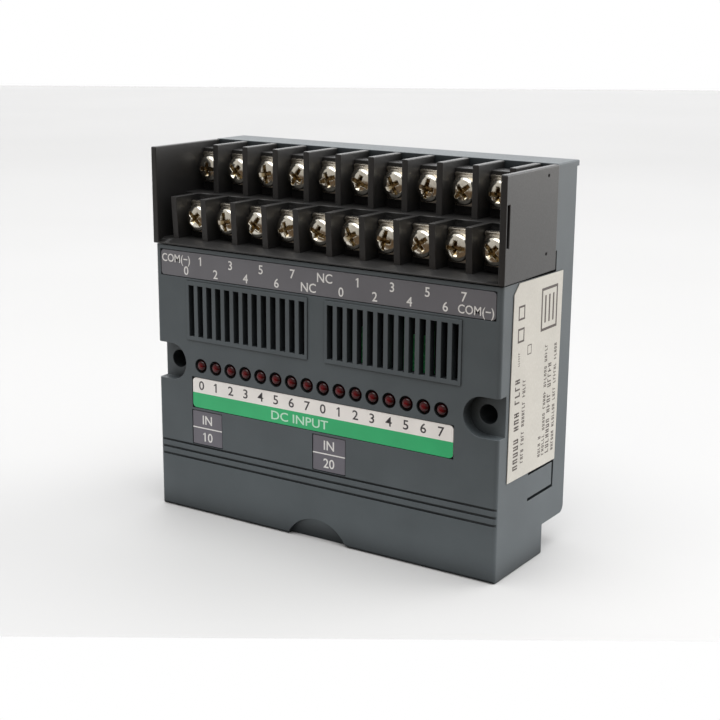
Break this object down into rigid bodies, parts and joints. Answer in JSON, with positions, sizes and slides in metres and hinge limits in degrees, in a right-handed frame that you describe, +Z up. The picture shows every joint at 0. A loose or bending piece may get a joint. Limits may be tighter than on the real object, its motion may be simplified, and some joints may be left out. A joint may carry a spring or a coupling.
{
  "type": "plc module",
  "caption": "Industrial input module with a two-tier screw terminal block, indicator lights, vent slots, printed labels and a plug under its rear step.",
  "frame": {"origin": "centre of the bounding box's underside, level with the surface the module stands on", "axes": "+X to the right along the terminal rows, +Y from the front face to the back face, +Z up"},
  "size_m": [0.1084, 0.0402, 0.1018],
  "materials": {
    "case": "fine moulded texture, satin slate grey",
    "block": "fine moulded texture, satin black",
    "screw": "bright nickel plate on steel",
    "washer": "bright nickel plate on stamped steel",
    "board": "green solder mask on glass-epoxy board",
    "connector": "moulded black thermoplastic",
    "chip": "moulded epoxy",
    "led": "tinted red epoxy lens",
    "label_dark": "printed film, dark grey",
    "label_led": "printed film, white over a green band",
    "label_rating": "printed paper sticker, cream"
  },
  "bodies": {
    "module": {"case_shell": "case", "back_cover": "case", "terminal_block": "block", "main_board": "board", "front_board": "board", "board_link": "connector", "led_strip": "led", "bus_connector": "connector", "controller_chip": "chip", "optocoupler_1": "chip", "optocoupler_2": "chip", "optocoupler_3": "chip", "optocoupler_4": "chip", "board_screw_left": "screw", "board_screw_right": "screw", "terminal_label": "label_dark", "led_label": "label_led", "input_label_left": "label_dark", "input_label_right": "label_dark", "rating_label": "label_rating"},
    "washer_upper_1": {"clamp_washer_upper_1": "washer"},
    "screw_upper_1": {"terminal_screw_upper_1": "screw"},
    "washer_upper_2": {"clamp_washer_upper_2": "washer"},
    "screw_upper_2": {"terminal_screw_upper_2": "screw"},
    "washer_upper_3": {"clamp_washer_upper_3": "washer"},
    "screw_upper_3": {"terminal_screw_upper_3": "screw"},
    "washer_upper_4": {"clamp_washer_upper_4": "washer"},
    "screw_upper_4": {"terminal_screw_upper_4": "screw"},
    "washer_upper_5": {"clamp_washer_upper_5": "washer"},
    "screw_upper_5": {"terminal_screw_upper_5": "screw"},
    "washer_upper_6": {"clamp_washer_upper_6": "washer"},
    "screw_upper_6": {"terminal_screw_upper_6": "screw"},
    "washer_upper_7": {"clamp_washer_upper_7": "washer"},
    "screw_upper_7": {"terminal_screw_upper_7": "screw"},
    "washer_upper_8": {"clamp_washer_upper_8": "washer"},
    "screw_upper_8": {"terminal_screw_upper_8": "screw"},
    "washer_upper_9": {"clamp_washer_upper_9": "washer"},
    "screw_upper_9": {"terminal_screw_upper_9": "screw"},
    "washer_upper_10": {"clamp_washer_upper_10": "washer"},
    "screw_upper_10": {"terminal_screw_upper_10": "screw"},
    "washer_lower_1": {"clamp_washer_lower_1": "washer"},
    "screw_lower_1": {"terminal_screw_lower_1": "screw"},
    "washer_lower_2": {"clamp_washer_lower_2": "washer"},
    "screw_lower_2": {"terminal_screw_lower_2": "screw"},
    "washer_lower_3": {"clamp_washer_lower_3": "washer"},
    "screw_lower_3": {"terminal_screw_lower_3": "screw"},
    "washer_lower_4": {"clamp_washer_lower_4": "washer"},
    "screw_lower_4": {"terminal_screw_lower_4": "screw"},
    "washer_lower_5": {"clamp_washer_lower_5": "washer"},
    "screw_lower_5": {"terminal_screw_lower_5": "screw"},
    "washer_lower_6": {"clamp_washer_lower_6": "washer"},
    "screw_lower_6": {"terminal_screw_lower_6": "screw"},
    "washer_lower_7": {"clamp_washer_lower_7": "washer"},
    "screw_lower_7": {"terminal_screw_lower_7": "screw"},
    "washer_lower_8": {"clamp_washer_lower_8": "washer"},
    "screw_lower_8": {"terminal_screw_lower_8": "screw"},
    "washer_lower_9": {"clamp_washer_lower_9": "washer"},
    "screw_lower_9": {"terminal_screw_lower_9": "screw"},
    "washer_lower_10": {"clamp_washer_lower_10": "washer"},
    "screw_lower_10": {"terminal_screw_lower_10": "screw"}
  },
  "joints": [
    {"name": "screw_travel_upper_1", "type": "slide", "parent": "module", "child": "washer_upper_1", "axis": [0, -1, 0], "range_m": [0, 0.003]},
    {"name": "screw_turn_upper_1", "type": "hinge", "parent": "washer_upper_1", "child": "screw_upper_1", "pos_m": [-0.04826, -0.0041, 0.0945], "axis": [0, -1, 0], "range_deg": [0, 1801]},
    {"name": "screw_travel_upper_2", "type": "slide", "parent": "module", "child": "washer_upper_2", "axis": [0, -1, 0], "range_m": [0, 0.003]},
    {"name": "screw_turn_upper_2", "type": "hinge", "parent": "washer_upper_2", "child": "screw_upper_2", "pos_m": [-0.0381, -0.0041, 0.0945], "axis": [0, -1, 0], "range_deg": [0, 1801]},
    {"name": "screw_travel_upper_3", "type": "slide", "parent": "module", "child": "washer_upper_3", "axis": [0, -1, 0], "range_m": [0, 0.003]},
    {"name": "screw_turn_upper_3", "type": "hinge", "parent": "washer_upper_3", "child": "screw_upper_3", "pos_m": [-0.02794, -0.0041, 0.0945], "axis": [0, -1, 0], "range_deg": [0, 1801]},
    {"name": "screw_travel_upper_4", "type": "slide", "parent": "module", "child": "washer_upper_4", "axis": [0, -1, 0], "range_m": [0, 0.003]},
    {"name": "screw_turn_upper_4", "type": "hinge", "parent": "washer_upper_4", "child": "screw_upper_4", "pos_m": [-0.01778, -0.0041, 0.0945], "axis": [0, -1, 0], "range_deg": [0, 1801]},
    {"name": "screw_travel_upper_5", "type": "slide", "parent": "module", "child": "washer_upper_5", "axis": [0, -1, 0], "range_m": [0, 0.003]},
    {"name": "screw_turn_upper_5", "type": "hinge", "parent": "washer_upper_5", "child": "screw_upper_5", "pos_m": [-0.00762, -0.0041, 0.0945], "axis": [0, -1, 0], "range_deg": [0, 1801]},
    {"name": "screw_travel_upper_6", "type": "slide", "parent": "module", "child": "washer_upper_6", "axis": [0, -1, 0], "range_m": [0, 0.003]},
    {"name": "screw_turn_upper_6", "type": "hinge", "parent": "washer_upper_6", "child": "screw_upper_6", "pos_m": [0.00254, -0.0041, 0.0945], "axis": [0, -1, 0], "range_deg": [0, 1801]},
    {"name": "screw_travel_upper_7", "type": "slide", "parent": "module", "child": "washer_upper_7", "axis": [0, -1, 0], "range_m": [0, 0.003]},
    {"name": "screw_turn_upper_7", "type": "hinge", "parent": "washer_upper_7", "child": "screw_upper_7", "pos_m": [0.0127, -0.0041, 0.0945], "axis": [0, -1, 0], "range_deg": [0, 1801]},
    {"name": "screw_travel_upper_8", "type": "slide", "parent": "module", "child": "washer_upper_8", "axis": [0, -1, 0], "range_m": [0, 0.003]},
    {"name": "screw_turn_upper_8", "type": "hinge", "parent": "washer_upper_8", "child": "screw_upper_8", "pos_m": [0.02286, -0.0041, 0.0945], "axis": [0, -1, 0], "range_deg": [0, 1801]},
    {"name": "screw_travel_upper_9", "type": "slide", "parent": "module", "child": "washer_upper_9", "axis": [0, -1, 0], "range_m": [0, 0.003]},
    {"name": "screw_turn_upper_9", "type": "hinge", "parent": "washer_upper_9", "child": "screw_upper_9", "pos_m": [0.03302, -0.0041, 0.0945], "axis": [0, -1, 0], "range_deg": [0, 1801]},
    {"name": "screw_travel_upper_10", "type": "slide", "parent": "module", "child": "washer_upper_10", "axis": [0, -1, 0], "range_m": [0, 0.003]},
    {"name": "screw_turn_upper_10", "type": "hinge", "parent": "washer_upper_10", "child": "screw_upper_10", "pos_m": [0.04318, -0.0041, 0.0945], "axis": [0, -1, 0], "range_deg": [0, 1801]},
    {"name": "screw_travel_lower_1", "type": "slide", "parent": "module", "child": "washer_lower_1", "axis": [0, -1, 0], "range_m": [0, 0.003]},
    {"name": "screw_turn_lower_1", "type": "hinge", "parent": "washer_lower_1", "child": "screw_lower_1", "pos_m": [-0.04318, -0.0158, 0.0824], "axis": [0, -1, 0], "range_deg": [0, 1801]},
    {"name": "screw_travel_lower_2", "type": "slide", "parent": "module", "child": "washer_lower_2", "axis": [0, -1, 0], "range_m": [0, 0.003]},
    {"name": "screw_turn_lower_2", "type": "hinge", "parent": "washer_lower_2", "child": "screw_lower_2", "pos_m": [-0.03302, -0.0158, 0.0824], "axis": [0, -1, 0], "range_deg": [0, 1801]},
    {"name": "screw_travel_lower_3", "type": "slide", "parent": "module", "child": "washer_lower_3", "axis": [0, -1, 0], "range_m": [0, 0.003]},
    {"name": "screw_turn_lower_3", "type": "hinge", "parent": "washer_lower_3", "child": "screw_lower_3", "pos_m": [-0.02286, -0.0158, 0.0824], "axis": [0, -1, 0], "range_deg": [0, 1801]},
    {"name": "screw_travel_lower_4", "type": "slide", "parent": "module", "child": "washer_lower_4", "axis": [0, -1, 0], "range_m": [0, 0.003]},
    {"name": "screw_turn_lower_4", "type": "hinge", "parent": "washer_lower_4", "child": "screw_lower_4", "pos_m": [-0.0127, -0.0158, 0.0824], "axis": [0, -1, 0], "range_deg": [0, 1801]},
    {"name": "screw_travel_lower_5", "type": "slide", "parent": "module", "child": "washer_lower_5", "axis": [0, -1, 0], "range_m": [0, 0.003]},
    {"name": "screw_turn_lower_5", "type": "hinge", "parent": "washer_lower_5", "child": "screw_lower_5", "pos_m": [-0.00254, -0.0158, 0.0824], "axis": [0, -1, 0], "range_deg": [0, 1801]},
    {"name": "screw_travel_lower_6", "type": "slide", "parent": "module", "child": "washer_lower_6", "axis": [0, -1, 0], "range_m": [0, 0.003]},
    {"name": "screw_turn_lower_6", "type": "hinge", "parent": "washer_lower_6", "child": "screw_lower_6", "pos_m": [0.00762, -0.0158, 0.0824], "axis": [0, -1, 0], "range_deg": [0, 1801]},
    {"name": "screw_travel_lower_7", "type": "slide", "parent": "module", "child": "washer_lower_7", "axis": [0, -1, 0], "range_m": [0, 0.003]},
    {"name": "screw_turn_lower_7", "type": "hinge", "parent": "washer_lower_7", "child": "screw_lower_7", "pos_m": [0.01778, -0.0158, 0.0824], "axis": [0, -1, 0], "range_deg": [0, 1801]},
    {"name": "screw_travel_lower_8", "type": "slide", "parent": "module", "child": "washer_lower_8", "axis": [0, -1, 0], "range_m": [0, 0.003]},
    {"name": "screw_turn_lower_8", "type": "hinge", "parent": "washer_lower_8", "child": "screw_lower_8", "pos_m": [0.02794, -0.0158, 0.0824], "axis": [0, -1, 0], "range_deg": [0, 1801]},
    {"name": "screw_travel_lower_9", "type": "slide", "parent": "module", "child": "washer_lower_9", "axis": [0, -1, 0], "range_m": [0, 0.003]},
    {"name": "screw_turn_lower_9", "type": "hinge", "parent": "washer_lower_9", "child": "screw_lower_9", "pos_m": [0.0381, -0.0158, 0.0824], "axis": [0, -1, 0], "range_deg": [0, 1801]},
    {"name": "screw_travel_lower_10", "type": "slide", "parent": "module", "child": "washer_lower_10", "axis": [0, -1, 0], "range_m": [0, 0.003]},
    {"name": "screw_turn_lower_10", "type": "hinge", "parent": "washer_lower_10", "child": "screw_lower_10", "pos_m": [0.04826, -0.0158, 0.0824], "axis": [0, -1, 0], "range_deg": [0, 1801]}
  ],
  "couplings": [
    {"joint": "screw_turn_upper_1", "follows": "screw_travel_upper_1", "rad_per_m": 10472},
    {"joint": "screw_turn_upper_2", "follows": "screw_travel_upper_2", "rad_per_m": 10472},
    {"joint": "screw_turn_upper_3", "follows": "screw_travel_upper_3", "rad_per_m": 10472},
    {"joint": "screw_turn_upper_4", "follows": "screw_travel_upper_4", "rad_per_m": 10472},
    {"joint": "screw_turn_upper_5", "follows": "screw_travel_upper_5", "rad_per_m": 10472},
    {"joint": "screw_turn_upper_6", "follows": "screw_travel_upper_6", "rad_per_m": 10472},
    {"joint": "screw_turn_upper_7", "follows": "screw_travel_upper_7", "rad_per_m": 10472},
    {"joint": "screw_turn_upper_8", "follows": "screw_travel_upper_8", "rad_per_m": 10472},
    {"joint": "screw_turn_upper_9", "follows": "screw_travel_upper_9", "rad_per_m": 10472},
    {"joint": "screw_turn_upper_10", "follows": "screw_travel_upper_10", "rad_per_m": 10472},
    {"joint": "screw_turn_lower_1", "follows": "screw_travel_lower_1", "rad_per_m": 10472},
    {"joint": "screw_turn_lower_2", "follows": "screw_travel_lower_2", "rad_per_m": 10472},
    {"joint": "screw_turn_lower_3", "follows": "screw_travel_lower_3", "rad_per_m": 10472},
    {"joint": "screw_turn_lower_4", "follows": "screw_travel_lower_4", "rad_per_m": 10472},
    {"joint": "screw_turn_lower_5", "follows": "screw_travel_lower_5", "rad_per_m": 10472},
    {"joint": "screw_turn_lower_6", "follows": "screw_travel_lower_6", "rad_per_m": 10472},
    {"joint": "screw_turn_lower_7", "follows": "screw_travel_lower_7", "rad_per_m": 10472},
    {"joint": "screw_turn_lower_8", "follows": "screw_travel_lower_8", "rad_per_m": 10472},
    {"joint": "screw_turn_lower_9", "follows": "screw_travel_lower_9", "rad_per_m": 10472},
    {"joint": "screw_turn_lower_10", "follows": "screw_travel_lower_10", "rad_per_m": 10472}
  ]
}
